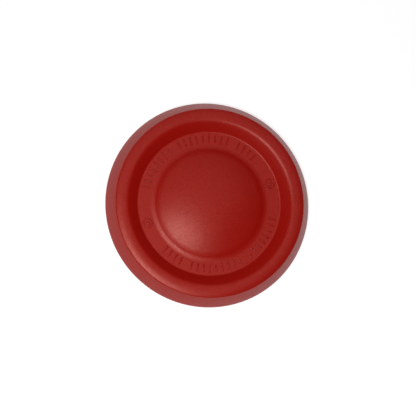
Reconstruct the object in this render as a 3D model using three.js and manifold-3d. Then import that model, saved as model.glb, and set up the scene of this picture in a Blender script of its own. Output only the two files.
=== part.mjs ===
// Flying disc of moulded closed-cell foam, 9 inches across, in one piece.
// A domed centre stands on a flat annular plate. A sloping wall climbs from the plate to a
// crowned rim, and an outer skirt flares from the rim's crisp edge down to the foot. The
// underside is hollow, so that fingers hook behind the rim. Plain raised ribs and ringed
// studs stand on the plate.
// Units are millimetres, +Z is up, and the origin is the centre of the foot's plane.

import * as THREE from 'three';
import * as BufferGeometryUtils from 'three/addons/utils/BufferGeometryUtils.js';
import Module from 'manifold-3d';

const wasm = await Module();
wasm.setup();

// Driving dimensions of the upper surface.
const DISC_RADIUS = 114.3;
const SKIRT_BASE_HEIGHT = 6;        // the widest level, where the skirt turns under
const RIM_EDGE_RADIUS = 104.6;      // crisp edge between the skirt and the rim's crown
const RIM_EDGE_HEIGHT = 24.2;
const RIM_INNER_RADIUS = 92.4;      // where the crown starts to roll over into the wall
const RIM_INNER_HEIGHT = 25.0;
const CROWN_HEIGHT = 26.4;          // control height that bows the crown
const WALL_TOP_RADIUS = 89.8;
const WALL_TOP_HEIGHT = 23.4;
const PLATE_RADIUS = 80;            // foot of the sloping wall
const PLATE_HEIGHT = 15.4;
const DOME_CAP_RADIUS = 54;          // the cap ends here and a steeper shoulder starts
const DOME_CAP_SLOPE = THREE.MathUtils.degToRad(17.25);
const DOME_SHOULDER_SLOPE = THREE.MathUtils.degToRad(27);
const DOME_SHOULDER_RADIUS = 56.75; // control point of the curve between cap and shoulder
const DOME_BASE_RADIUS = 59.5;
const DOME_FOOT_RADIUS = 62.7;      // control point of the hollow fillet round the dome
const DOME_FILLET_END = 65.9;

// Driving dimensions of the underside.
const FOAM_THICKNESS = 7;           // under the plate and the dome
const FOOT_OUTER_RADIUS = 109.5;
const FOOT_INNER_RADIUS = 101.5;
const FOOT_ROUND = 1.5;
const GRIP_RADIUS = 97;             // where the fingers hook behind the rim
const GRIP_HEIGHT = 13.5;
const GRIP_ROOF_RADIUS = 92.8;
const GRIP_ROOF_HEIGHT = 16.2;
const UNDER_WALL_RADIUS = 84;

// Raised marks on the plate. Every mark is repeated half a turn away.
const MARK_RADIUS = 72;             // to the middle of a rib or a stud
const RIB_LENGTH = 9.4;
const RIB_WIDTH = 1.5;
const RIB_PITCH = 5.5;              // degrees between neighbours in a group
const RIB_GROUPS = [
  { start: 47, count: 4 },
  { start: 74, count: 9 },
  { start: 128.5, count: 8 },
];
const STUD_ANGLE = 19;
const STUD_RING_OUTER = 5.6;
const STUD_RING_INNER = 4.4;
const STUD_DOT_RADIUS = 2;
const MARK_RISE = 1.3;
const MARK_SINK = 1;                // how far a mark is rooted below the plate's surface

const FACETS_AROUND = 72;
const STUD_FACETS = 20;
const CURVE_STEPS = 4;
const HALF_TURN = 180;

const foam = new THREE.MeshStandardMaterial({
  name: 'red_foam',
  color: new THREE.Color().setRGB(0.33, 0.018, 0.012),
  roughness: 0.5,
  metalness: 0,
});

// A closed geometry as a solid: shared corners are merged and collapsed triangles dropped.
function solidFrom(geometry) {
  const bare = geometry.clone();
  bare.deleteAttribute('normal');
  bare.deleteAttribute('uv');
  const merged = BufferGeometryUtils.mergeVertices(bare, 1e-4);
  const corners = merged.index.array;
  const kept = [];
  for (let i = 0; i < corners.length; i += 3) {
    const [a, b, c] = corners.slice(i, i + 3);
    if (a !== b && b !== c && c !== a) kept.push(a, b, c);
  }
  return new wasm.Manifold(new wasm.Mesh({
    numProp: 3,
    vertProperties: new Float32Array(merged.attributes.position.array),
    triVerts: new Uint32Array(kept),
  }));
}

function geometryFrom(solid) {
  const mesh = solid.getMesh();
  const geometry = new THREE.BufferGeometry();
  geometry.setAttribute('position', new THREE.BufferAttribute(mesh.vertProperties, 3));
  geometry.setIndex(new THREE.BufferAttribute(mesh.triVerts, 1));
  geometry.computeVertexNormals();
  return geometry;
}

// The corner under a corner of the upper surface, at the foam's thickness below it.
function sinkCorner(radius, height, slopeBefore, slopeAfter) {
  const lean = (slopeBefore + slopeAfter) / 2;
  const drop = FOAM_THICKNESS / Math.cos((slopeAfter - slopeBefore) / 2);
  return [radius - drop * Math.sin(lean), height - drop * Math.cos(lean)];
}

// Half of the disc's cross-section, from the underside's centre round to the top's centre.
// The dome is a spherical cap that turns over a shoulder into a hollow fillet, and the foam
// under it and under the plate has an even thickness.
function discOutline() {
  const quarter = Math.PI / 2;
  const shoulderFall = Math.tan(DOME_SHOULDER_SLOPE);
  const shoulderHeight = PLATE_HEIGHT + (DOME_FOOT_RADIUS - DOME_SHOULDER_RADIUS) * shoulderFall;
  const baseHeight = PLATE_HEIGHT + (DOME_FOOT_RADIUS - DOME_BASE_RADIUS) * shoulderFall;
  const capHeight = shoulderHeight
    + (DOME_SHOULDER_RADIUS - DOME_CAP_RADIUS) * Math.tan(DOME_CAP_SLOPE);
  const sphereRadius = DOME_CAP_RADIUS / Math.sin(DOME_CAP_SLOPE);
  const sphereHeight = capHeight - sphereRadius * Math.cos(DOME_CAP_SLOPE);

  const underRadius = sphereRadius - FOAM_THICKNESS;
  const underPlateHeight = PLATE_HEIGHT - FOAM_THICKNESS;
  const underShoulder = sinkCorner(
    DOME_SHOULDER_RADIUS, shoulderHeight, DOME_CAP_SLOPE, DOME_SHOULDER_SLOPE,
  );
  const underFoot = sinkCorner(DOME_FOOT_RADIUS, PLATE_HEIGHT, DOME_SHOULDER_SLOPE, 0);

  const outline = new THREE.Path();
  outline.moveTo(0, sphereHeight + underRadius);
  outline.absarc(0, sphereHeight, underRadius, quarter, quarter - DOME_CAP_SLOPE, true);
  outline.lineTo(...underShoulder);
  outline.quadraticCurveTo(...underFoot, underFoot[0] + 3.5, underPlateHeight);
  outline.lineTo(UNDER_WALL_RADIUS, underPlateHeight);
  outline.lineTo(GRIP_ROOF_RADIUS, GRIP_ROOF_HEIGHT);
  outline.quadraticCurveTo(GRIP_RADIUS - 1, GRIP_ROOF_HEIGHT + 2, GRIP_RADIUS, GRIP_HEIGHT);
  outline.lineTo(FOOT_INNER_RADIUS - FOOT_ROUND, FOOT_ROUND);
  outline.quadraticCurveTo(FOOT_INNER_RADIUS - FOOT_ROUND / 2, 0, FOOT_INNER_RADIUS, 0);
  outline.lineTo(FOOT_OUTER_RADIUS, 0);
  outline.quadraticCurveTo(DISC_RADIUS, 0, DISC_RADIUS, SKIRT_BASE_HEIGHT);
  outline.lineTo(RIM_EDGE_RADIUS, RIM_EDGE_HEIGHT);
  outline.quadraticCurveTo(
    (RIM_EDGE_RADIUS + RIM_INNER_RADIUS) / 2, CROWN_HEIGHT,
    RIM_INNER_RADIUS, RIM_INNER_HEIGHT,
  );
  outline.quadraticCurveTo(
    WALL_TOP_RADIUS + 1, WALL_TOP_HEIGHT + 1,
    WALL_TOP_RADIUS, WALL_TOP_HEIGHT,
  );
  outline.lineTo(PLATE_RADIUS, PLATE_HEIGHT);
  outline.lineTo(DOME_FILLET_END, PLATE_HEIGHT);
  outline.quadraticCurveTo(DOME_FOOT_RADIUS, PLATE_HEIGHT, DOME_BASE_RADIUS, baseHeight);
  outline.quadraticCurveTo(
    DOME_SHOULDER_RADIUS, shoulderHeight,
    DOME_CAP_RADIUS, capHeight,
  );
  outline.absarc(0, sphereHeight, sphereRadius, quarter - DOME_CAP_SLOPE, quarter, false);
  return outline.getPoints(CURVE_STEPS);
}

function makeFoamShell() {
  const shell = new THREE.LatheGeometry(discOutline(), FACETS_AROUND);
  shell.rotateX(Math.PI / 2);
  return solidFrom(shell);
}

// Puts a mark, made round the origin with its root at zero height, at its place on the plate.
function placeOnPlate(mark, degrees) {
  mark.translate(MARK_RADIUS, 0, PLATE_HEIGHT - MARK_SINK);
  mark.rotateZ(THREE.MathUtils.degToRad(degrees));
  return solidFrom(mark);
}

function makeRib(degrees) {
  const height = MARK_RISE + MARK_SINK;
  const rib = new THREE.BoxGeometry(RIB_LENGTH, RIB_WIDTH, height);
  rib.translate(0, 0, height / 2);
  return placeOnPlate(rib, degrees);
}

function makeRibs() {
  const ribs = [];
  for (const { start, count } of RIB_GROUPS) {
    for (let i = 0; i < count; i += 1) {
      const angle = start + RIB_PITCH * i;
      ribs.push(makeRib(angle), makeRib(angle + HALF_TURN));
    }
  }
  return ribs;
}

// A plain raised ring with a round dot in the middle of it.
function makeStud(degrees) {
  const height = MARK_RISE + MARK_SINK;
  const section = [
    new THREE.Vector2(STUD_RING_INNER, 0),
    new THREE.Vector2(STUD_RING_OUTER, 0),
    new THREE.Vector2(STUD_RING_OUTER, height),
    new THREE.Vector2(STUD_RING_INNER, height),
    new THREE.Vector2(STUD_RING_INNER, 0),
  ];
  const ring = new THREE.LatheGeometry(section, STUD_FACETS);
  ring.rotateX(Math.PI / 2);
  const dot = new THREE.CylinderGeometry(STUD_DOT_RADIUS, STUD_DOT_RADIUS, height, STUD_FACETS);
  dot.rotateX(Math.PI / 2);
  dot.translate(0, 0, height / 2);
  return [
    placeOnPlate(ring, degrees),
    placeOnPlate(dot, degrees),
  ];
}

function makeFoamDisc() {
  const marks = [
    ...makeRibs(),
    ...makeStud(STUD_ANGLE),
    ...makeStud(STUD_ANGLE + HALF_TURN),
  ];
  let moulding = makeFoamShell();
  for (const mark of marks) moulding = moulding.add(mark);
  const disc = new THREE.Mesh(geometryFrom(moulding), foam);
  disc.name = 'foam_disc';
  return disc;
}

const flyingDisc = new THREE.Group();
flyingDisc.name = 'flying_disc';
flyingDisc.add(makeFoamDisc());

export default flyingDisc;
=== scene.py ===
import math

import bmesh
import bpy
from mathutils import Matrix, Vector


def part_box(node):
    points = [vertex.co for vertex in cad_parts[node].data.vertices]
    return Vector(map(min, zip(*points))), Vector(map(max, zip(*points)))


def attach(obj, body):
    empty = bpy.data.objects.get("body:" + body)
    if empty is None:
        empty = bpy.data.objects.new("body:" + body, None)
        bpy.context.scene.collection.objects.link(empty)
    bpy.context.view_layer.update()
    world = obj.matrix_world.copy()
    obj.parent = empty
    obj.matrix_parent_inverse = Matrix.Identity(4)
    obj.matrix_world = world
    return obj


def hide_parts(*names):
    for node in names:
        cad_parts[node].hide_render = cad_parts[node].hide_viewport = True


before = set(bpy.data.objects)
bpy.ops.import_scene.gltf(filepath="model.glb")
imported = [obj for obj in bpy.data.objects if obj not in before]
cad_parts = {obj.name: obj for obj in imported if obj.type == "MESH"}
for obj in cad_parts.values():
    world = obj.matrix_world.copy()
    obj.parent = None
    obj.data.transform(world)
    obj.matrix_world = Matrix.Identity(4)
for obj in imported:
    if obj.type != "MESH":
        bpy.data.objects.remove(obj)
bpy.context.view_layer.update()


# ---- Foam moulding ---------------------------------------------------------------------
# The whole disc is one moulding of dense closed-cell foam, pressed in a two-part mould.
# Its half section is drawn corner by corner from the top of the dome round to the middle
# of the underside, the corners are rounded, and the section is spun round the disc's axis.

mm = 0.001
disc_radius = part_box("foam_disc")[1].x

flash_rise = 0.2 * mm                       # raised line where the mould's halves meet
flash_height = 5.6 * mm
flash_width = 0.5 * mm
skirt_radius = disc_radius - flash_rise
skirt_base_height = 7.0 * mm
foot_inner_radius = disc_radius - 12.8 * mm

rim_edge_radius = disc_radius - 9.7 * mm    # crisp edge between the skirt and the crown
rim_edge_height = 24.2 * mm
rim_inner_radius = disc_radius - 23.2 * mm
rim_inner_height = 24.7 * mm
crown_rollover = (2.3 * mm, 0.57 * mm)      # from the wall's top up to where the crown starts
crown_bow = math.radians(12.5)
wall_bow = math.radians(5)

plate_radius = disc_radius - 34.3 * mm
plate_height = 15.4 * mm
dome_cap_radius = 54.0 * mm                 # the cap ends here and a steeper shoulder starts
dome_cap_slope = math.radians(17.25)
dome_shoulder_slope = math.radians(27)
dome_shoulder_radius = 56.75 * mm
dome_foot_radius = 62.7 * mm
dome_shoulder_height = (
    plate_height + (dome_foot_radius - dome_shoulder_radius) * math.tan(dome_shoulder_slope)
)
dome_cap_height = (
    dome_shoulder_height + (dome_shoulder_radius - dome_cap_radius) * math.tan(dome_cap_slope)
)
dome_sphere = dome_cap_radius / math.sin(dome_cap_slope)
dome_centre = (0, dome_cap_height - dome_sphere * math.cos(dome_cap_slope))

foam_thickness = 7.0 * mm
under_plate_height = plate_height - foam_thickness
under_wall_radius = 84.0 * mm
grip_roof = (95.7 * mm, 18.6 * mm)          # where the fingers hook behind the rim

spin_steps = 360
dome_steps = 24
wall_steps = 6
crown_steps = 12
merge_gap = 0.002 * mm
crease_angle = math.radians(35)             # sharper edges than this are left crisp


def start_outline(radius, height):
    """Begins an outline with one vertex in the XZ plane, and stays in edit mode."""
    bpy.ops.object.select_all(action="DESELECT")
    bpy.ops.mesh.primitive_plane_add(size=mm)
    bpy.ops.object.mode_set(mode="EDIT")
    bpy.ops.mesh.select_mode(type="VERT")
    bpy.ops.mesh.select_all(action="SELECT")
    bpy.ops.mesh.merge(type="CENTER")
    bpy.ops.transform.translate(value=(radius, 0, height))
    return bpy.context.edit_object


def draw_to(here, *corners):
    """Draws straight stretches of outline through (radius, height) corners."""
    for there in corners:
        step = (there[0] - here[0], 0, there[1] - here[1])
        bpy.ops.mesh.extrude_region_move(TRANSFORM_OT_translate={"value": step})
        here = there
    return here


def draw_arc(here, centre, angle, steps):
    """Draws an arc about a centre in the XZ plane; a positive angle turns out and down."""
    bpy.ops.mesh.spin(
        steps=steps, angle=angle, center=(centre[0], 0, centre[1]), axis=(0, -1, 0)
    )
    turn = Matrix.Rotation(-angle, 2)
    offset = Vector((here[0] - centre[0], here[1] - centre[1]))
    return tuple(Vector(centre) + turn @ offset)


def draw_bow(here, there, half_turn, steps):
    """Draws an arc that bows upwards, turning by half_turn either side of its middle."""
    chord = Vector(there) - Vector(here)
    down = Vector((chord.y, -chord.x)).normalized()
    drop = chord.length / 2 / math.tan(half_turn)
    centre = tuple((Vector(here) + Vector(there)) / 2 + down * drop)
    for step in range(steps):
        here = draw_arc(here, centre, 2 * half_turn / steps, 1)
    return here


def sink_corner(corner, slope_before, slope_after):
    """The corner under a corner of the upper surface, at the foam's thickness below it."""
    turn = (slope_after - slope_before) / 2
    lean = (slope_after + slope_before) / 2
    drop = foam_thickness / math.cos(turn)
    return (corner[0] - drop * math.sin(lean), corner[1] - drop * math.cos(lean))


def round_corner(piece, corner, reach, segments):
    """Rounds the outline's vertex at a corner, from reach before it to reach after it."""
    bpy.ops.mesh.select_all(action="DESELECT")
    mesh = bmesh.from_edit_mesh(piece.data)
    place = Vector((corner[0], 0, corner[1])) - piece.location
    nearest = min(mesh.verts, key=lambda vertex: (vertex.co - place).length)
    nearest.select = True
    mesh.select_flush_mode()
    bmesh.update_edit_mesh(piece.data)
    bpy.ops.mesh.bevel(offset=reach, segments=segments, affect="VERTICES")


dome_top = (0, dome_centre[1] + dome_sphere)
dome_shoulder = (dome_shoulder_radius, dome_shoulder_height)
dome_foot = (dome_foot_radius, plate_height)
plate_inner = (dome_foot_radius + 5 * mm, plate_height)     # clear of the fillets at the
plate_outer = (plate_radius - 2 * mm, plate_height)         # plate's two edges
wall_foot = (plate_radius, plate_height)
wall_top = (rim_inner_radius, rim_inner_height)
crown_start = (rim_inner_radius + crown_rollover[0], rim_inner_height + crown_rollover[1])
rim_edge = (rim_edge_radius, rim_edge_height)
skirt_base = (skirt_radius, skirt_base_height)
flash_top = (disc_radius, flash_height + flash_width / 2)
flash_bottom = (disc_radius, flash_height - flash_width / 2)
foot_outer = (skirt_radius, 0)
foot_inner = (foot_inner_radius, 0)
under_wall_foot = (under_wall_radius, under_plate_height)
under_dome_foot = sink_corner(dome_foot, dome_shoulder_slope, 0)
under_dome_shoulder = sink_corner(dome_shoulder, dome_cap_slope, dome_shoulder_slope)
under_sphere = dome_sphere - foam_thickness
under_cap_edge = (
    under_sphere * math.sin(dome_cap_slope),
    dome_centre[1] + under_sphere * math.cos(dome_cap_slope),
)

disc = start_outline(*dome_top)
disc.name = "foam_disc_moulding"
pen = draw_arc(dome_top, dome_centre, dome_cap_slope, dome_steps)
pen = draw_to(pen, dome_shoulder, dome_foot, plate_inner, plate_outer, wall_foot)
pen = draw_bow(pen, wall_top, wall_bow, wall_steps)
pen = draw_to(pen, crown_start)
pen = draw_bow(pen, rim_edge, crown_bow, crown_steps)
pen = draw_to(
    pen,
    skirt_base,
    (skirt_radius, flash_top[1] + flash_rise),
    flash_top,
    flash_bottom,
    (skirt_radius, flash_bottom[1] - flash_rise),
    foot_outer,
    foot_inner,
    grip_roof,
    under_wall_foot,
    under_dome_foot,
    under_dome_shoulder,
    under_cap_edge,
)
draw_arc(pen, dome_centre, -dome_cap_slope, dome_steps)

roundings = [                               # corner, reach each way from it, segments
    (dome_shoulder, 2.8 * mm, 6),
    (dome_foot, 3.5 * mm, 8),
    (wall_foot, 0.9 * mm, 5),
    (wall_top, 1.5 * mm, 8),
    (rim_edge, 0.7 * mm, 5),
    (skirt_base, 1.2 * mm, 4),
    (foot_outer, 4.5 * mm, 8),
    (foot_inner, 1.5 * mm, 6),
    (grip_roof, 3.5 * mm, 8),
    (under_wall_foot, 3.0 * mm, 6),
    (under_dome_foot, 3.5 * mm, 6),
    (under_dome_shoulder, 2.2 * mm, 6),
]
for corner, reach, segments in roundings:
    round_corner(disc, corner, reach, segments)

bpy.ops.mesh.select_all(action="SELECT")
bpy.ops.mesh.spin(
    steps=spin_steps, angle=math.tau, center=(0, 0, 0), axis=(0, 0, 1), use_auto_merge=True
)
bpy.ops.mesh.select_all(action="SELECT")
bpy.ops.mesh.remove_doubles(threshold=merge_gap)
bpy.ops.mesh.normals_make_consistent(inside=False)
bpy.ops.object.mode_set(mode="OBJECT")
bpy.ops.object.transform_apply(location=True, rotation=True, scale=True)


# ---- Raised marks on the plate ---------------------------------------------------------
# The mould leaves plain grip ribs on the plate in three groups, and beside them a ringed
# stud, all repeated half a turn away. A rib for each group and the stud are modelled, rooted
# in the plate, copied round the axis, and joined to the moulding as one solid.

mark_rise = 1.3 * mm
mark_sink = 1.0 * mm
mark_radius = 72.0 * mm
rib_length = 9.4 * mm
rib_width = 1.5 * mm
rib_end_round = 0.65 * mm
mark_top_round = 0.6 * mm
rib_pitch = 5.5                             # degrees between neighbours in a group
rib_groups = [(47, 4), (74, 9), (128.5, 8)]  # first rib's degree, number of ribs
stud_degrees = 19
stud_radius = 5.0 * mm
stud_ring_width = 1.3 * mm
stud_ring_round = stud_ring_width / 3
stud_ring_steps = 48
stud_dot_radius = 2.0 * mm
stud_dot_sides = 32
mark_round_segments = 3
opposite = 180                              # degrees from each mark to its repeat


def select_edges(piece, wanted):
    """Selects the edges of a piece in edit mode for which wanted says yes."""
    bpy.ops.mesh.select_all(action="DESELECT")
    bpy.ops.mesh.select_mode(type="EDGE")
    mesh = bmesh.from_edit_mesh(piece.data)
    for edge in mesh.edges:
        edge.select = wanted(edge)
    mesh.select_flush_mode()
    bmesh.update_edit_mesh(piece.data)


def copy_round(piece, pitch, count):
    """Makes a piece a ring of count copies round the disc's axis, pitch degrees apart."""
    bpy.context.view_layer.objects.active = piece
    bpy.ops.object.mode_set(mode="EDIT")
    bpy.ops.mesh.select_all(action="SELECT")
    bpy.ops.mesh.spin(
        dupli=True,
        steps=count - 1,
        angle=math.radians(pitch * (count - 1)),
        center=(0, 0, 0),
        axis=(0, 0, -1),
    )
    bpy.ops.object.mode_set(mode="OBJECT")


def place_on_plate(piece, radius, degrees):
    """Moves a mark, made at the origin, out to its radius and round to its angle."""
    turn = Matrix.Rotation(math.radians(degrees), 4, "Z")
    piece.matrix_world = turn @ Matrix.Translation((radius, 0, plate_height))
    bpy.ops.object.select_all(action="DESELECT")
    piece.select_set(True)
    bpy.context.view_layer.objects.active = piece
    bpy.ops.object.transform_apply(location=True, rotation=True, scale=True)


def make_rib():
    """One grip rib with rounded ends and a rounded top, left in object mode."""
    height = mark_rise + mark_sink
    bpy.ops.object.select_all(action="DESELECT")
    bpy.ops.mesh.primitive_cube_add(
        size=1, location=(0, 0, mark_rise - height / 2), scale=(rib_length, rib_width, height)
    )
    rib = bpy.context.object
    bpy.ops.object.transform_apply(location=True, rotation=True, scale=True)
    bpy.ops.object.mode_set(mode="EDIT")
    select_edges(rib, lambda edge: abs(edge.verts[0].co.z - edge.verts[1].co.z) > mark_rise)
    bpy.ops.mesh.bevel(offset=rib_end_round, segments=mark_round_segments, affect="EDGES")
    top = mark_rise - merge_gap
    select_edges(rib, lambda edge: all(vertex.co.z > top for vertex in edge.verts))
    bpy.ops.mesh.bevel(offset=mark_top_round, segments=mark_round_segments, affect="EDGES")
    bpy.ops.object.mode_set(mode="OBJECT")
    return rib


def make_stud():
    """A raised ring with a round dot in the middle, left in object mode."""
    height = mark_rise + mark_sink
    ring = start_outline(stud_radius + stud_ring_width / 2, -mark_sink)
    outer = (stud_radius + stud_ring_width / 2, mark_rise)
    inner = (stud_radius - stud_ring_width / 2, mark_rise)
    pen = draw_to((outer[0], -mark_sink), outer, inner, (inner[0], -mark_sink))
    round_corner(ring, outer, stud_ring_round, mark_round_segments)
    round_corner(ring, inner, stud_ring_round, mark_round_segments)
    bpy.ops.mesh.select_all(action="SELECT")
    bpy.ops.mesh.edge_face_add()
    bpy.ops.mesh.delete(type="ONLY_FACE")
    bpy.ops.mesh.select_all(action="SELECT")
    bpy.ops.mesh.spin(
        steps=stud_ring_steps,
        angle=math.tau,
        center=(0, 0, 0),
        axis=(0, 0, 1),
        use_auto_merge=True,
    )
    bpy.ops.mesh.select_all(action="SELECT")
    bpy.ops.mesh.remove_doubles(threshold=merge_gap)
    bpy.ops.mesh.normals_make_consistent(inside=False)
    bpy.ops.object.mode_set(mode="OBJECT")
    bpy.ops.object.transform_apply(location=True, rotation=True, scale=True)

    bpy.ops.object.select_all(action="DESELECT")
    bpy.ops.mesh.primitive_cylinder_add(
        vertices=stud_dot_sides,
        radius=stud_dot_radius,
        depth=height,
        location=(0, 0, mark_rise - height / 2),
    )
    dot = bpy.context.object
    bpy.ops.object.transform_apply(location=True, rotation=True, scale=True)
    bpy.ops.object.mode_set(mode="EDIT")
    top = mark_rise - merge_gap
    select_edges(dot, lambda edge: all(vertex.co.z > top for vertex in edge.verts))
    bpy.ops.mesh.bevel(offset=mark_top_round, segments=mark_round_segments, affect="EDGES")
    bpy.ops.object.mode_set(mode="OBJECT")
    ring.select_set(True)
    dot.select_set(True)
    bpy.context.view_layer.objects.active = ring
    bpy.ops.object.join()
    return ring


marks = []
for first_degree, count in rib_groups:
    rib = make_rib()
    place_on_plate(rib, mark_radius, first_degree)
    copy_round(rib, rib_pitch, count)
    marks.append(rib)
stud = make_stud()
place_on_plate(stud, mark_radius, stud_degrees)
marks.append(stud)

bpy.ops.object.select_all(action="DESELECT")
for mark in marks:
    mark.select_set(True)
bpy.context.view_layer.objects.active = marks[0]
bpy.ops.object.join()
all_marks = bpy.context.object
copy_round(all_marks, opposite, 2)

union = disc.modifiers.new("marks_on_plate", "BOOLEAN")
union.operation = "UNION"
union.solver = "EXACT"
union.object = all_marks
bpy.ops.object.select_all(action="DESELECT")
disc.select_set(True)
bpy.context.view_layer.objects.active = disc
bpy.ops.object.modifier_apply(modifier=union.name)
bpy.data.objects.remove(all_marks)
bpy.ops.object.shade_smooth_by_angle(angle=crease_angle)

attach(disc, "root")
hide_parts("foam_disc")


# ---- Red foam --------------------------------------------------------------------------
# The foam is coloured all through. Its moulded skin is soft and slightly satin, with a fine
# pebbled grain left by the spark-eroded mould, faint mottling and a few closed-up cells.

foam_red = (0.385, 0.0058, 0.0028, 1)
foam_deep_red = (0.345, 0.0044, 0.0022, 1)
foam_gloss = (0.35, 0.73)                   # specular level in the grain's pits and on its tops
foam_gloss_tint = (1.0, 0.53, 0.44, 1)      # reflections take the pigment's colour head on
foam_roughness = (0.39, 0.37)               # in the pits, on the tops
foam_ior = 1.48
mottling_size = 9 * mm
grain_size = 1.3 * mm
grain_depth = 0.12 * mm
grain_range = (0.3, 0.7)                    # the noise values of the pits and of the tops
pore_size = 0.5 * mm
pore_depth = 0.04 * mm

foam = bpy.data.materials.new("red_foam_skin")
foam.use_nodes = True
nodes, links = foam.node_tree.nodes, foam.node_tree.links
skin = nodes["Principled BSDF"]
skin.inputs["Metallic"].default_value = 0
skin.inputs["IOR"].default_value = foam_ior
skin.inputs["Specular Tint"].default_value = foam_gloss_tint

place = nodes.new("ShaderNodeTexCoord")


def add_noise(scale, detail, roughness):
    """A noise texture over the piece, whose features are about 1 / scale metres across."""
    noise = nodes.new("ShaderNodeTexNoise")
    noise.inputs["Scale"].default_value = scale
    noise.inputs["Detail"].default_value = detail
    noise.inputs["Roughness"].default_value = roughness
    links.new(place.outputs["Object"], noise.inputs["Vector"])
    return noise


mottling = add_noise(1 / mottling_size, detail=3, roughness=0.6)
tint = nodes.new("ShaderNodeMix")
tint.data_type = "RGBA"
tint.inputs["A"].default_value = foam_deep_red
tint.inputs["B"].default_value = foam_red
links.new(mottling.outputs["Fac"], tint.inputs["Factor"])
links.new(tint.outputs["Result"], skin.inputs["Base Color"])

grain = add_noise(1 / grain_size, detail=2, roughness=0.55)
pores = add_noise(1 / pore_size, detail=1, roughness=0.5)


def follow_grain(socket, in_pits, on_tops):
    """Makes a value of the skin run from the grain's pits to its tops."""
    finish = nodes.new("ShaderNodeMapRange")
    finish.inputs["From Min"].default_value = grain_range[0]
    finish.inputs["From Max"].default_value = grain_range[1]
    finish.inputs["To Min"].default_value = in_pits
    finish.inputs["To Max"].default_value = on_tops
    links.new(grain.outputs["Fac"], finish.inputs["Value"])
    links.new(finish.outputs["Result"], skin.inputs[socket])


follow_grain("Specular IOR Level", *foam_gloss)
follow_grain("Roughness", *foam_roughness)
grain_bump = nodes.new("ShaderNodeBump")
grain_bump.inputs["Distance"].default_value = grain_depth
pore_bump = nodes.new("ShaderNodeBump")
pore_bump.inputs["Distance"].default_value = pore_depth
links.new(grain.outputs["Fac"], grain_bump.inputs["Height"])
links.new(pores.outputs["Fac"], pore_bump.inputs["Height"])
links.new(grain_bump.outputs["Normal"], pore_bump.inputs["Normal"])
links.new(pore_bump.outputs["Normal"], skin.inputs["Normal"])

disc.data.materials.clear()
disc.data.materials.append(foam)


# ---- Floor, light and camera -----------------------------------------------------------
# A plain white floor that glows like a lit table, a softbox to the near left, and a wide
# dim panel high over the far side.

floor_size = 6
floor_grey = (0.4, 0.4, 0.4, 1)
floor_glow = 0.77
surround_strength = 0.02
view_lean = math.radians(12.0)
view_bearing = math.radians(219.1)
view_distance = 1.5
view_pivot = Vector((0, 0, 6 * mm))
view_centre = Vector((0.94 * mm, -3.15 * mm, 0))

bpy.ops.object.select_all(action="DESELECT")
bpy.ops.mesh.primitive_plane_add(size=floor_size, location=(0, 0, 0))
floor = bpy.context.object
floor.name = "floor"
paper = bpy.data.materials.new("white_floor")
paper.use_nodes = True
sheet = paper.node_tree.nodes["Principled BSDF"]
sheet.inputs["Base Color"].default_value = floor_grey
sheet.inputs["Roughness"].default_value = 0.9
sheet.inputs["Emission Color"].default_value = (1, 1, 1, 1)
sheet.inputs["Emission Strength"].default_value = floor_glow
floor.data.materials.append(paper)


def towards(lean, bearing, distance):
    """A place at a distance from the disc: lean from the vertical, bearing from +X."""
    return Vector((
        distance * math.sin(lean) * math.cos(bearing),
        distance * math.sin(lean) * math.sin(bearing),
        distance * math.cos(lean),
    ))


def aim(item, target, up=Vector((0, 1, 0))):
    """Points a camera or light at a place, with its own +Y as near as it can be to up."""
    back = (item.location - target).normalized()
    side = up.cross(back).normalized()
    item.rotation_euler = Matrix((side, back.cross(side), back)).transposed().to_euler()


def add_softbox(name, lean, bearing, distance, size, power):
    """An oval area light facing the disc, whose first size runs round the disc's axis."""
    bpy.ops.object.light_add(type="AREA")
    light = bpy.context.object
    light.name = name
    light.data.shape = "ELLIPSE"
    light.data.size, light.data.size_y = size
    light.data.energy = power
    light.location = towards(math.radians(lean), math.radians(bearing), distance)
    outwards = towards(math.radians(90), math.radians(bearing), 1)
    aim(light, Vector((0, 0, 0)), outwards)


add_softbox("key_softbox", lean=24, bearing=229, distance=0.9, size=(0.48, 0.16), power=5.0)
add_softbox("fill_panel", lean=20, bearing=85, distance=1.2, size=(1.6, 1.3), power=3.8)

world = bpy.data.worlds.new("surround")
bpy.context.scene.world = world
world.use_nodes = True
surround = world.node_tree.nodes["Background"]
surround.inputs["Color"].default_value = (1, 1, 1, 1)
surround.inputs["Strength"].default_value = surround_strength

bpy.ops.object.camera_add()
camera = bpy.context.object
camera.data.lens = 116.8
camera.data.sensor_width = 36
camera.location = view_pivot + towards(view_lean, view_bearing, view_distance)
aim(camera, view_centre)
camera.data.clip_end = 20
bpy.context.scene.camera = camera
bpy.context.scene.view_settings.view_transform = "Standard"
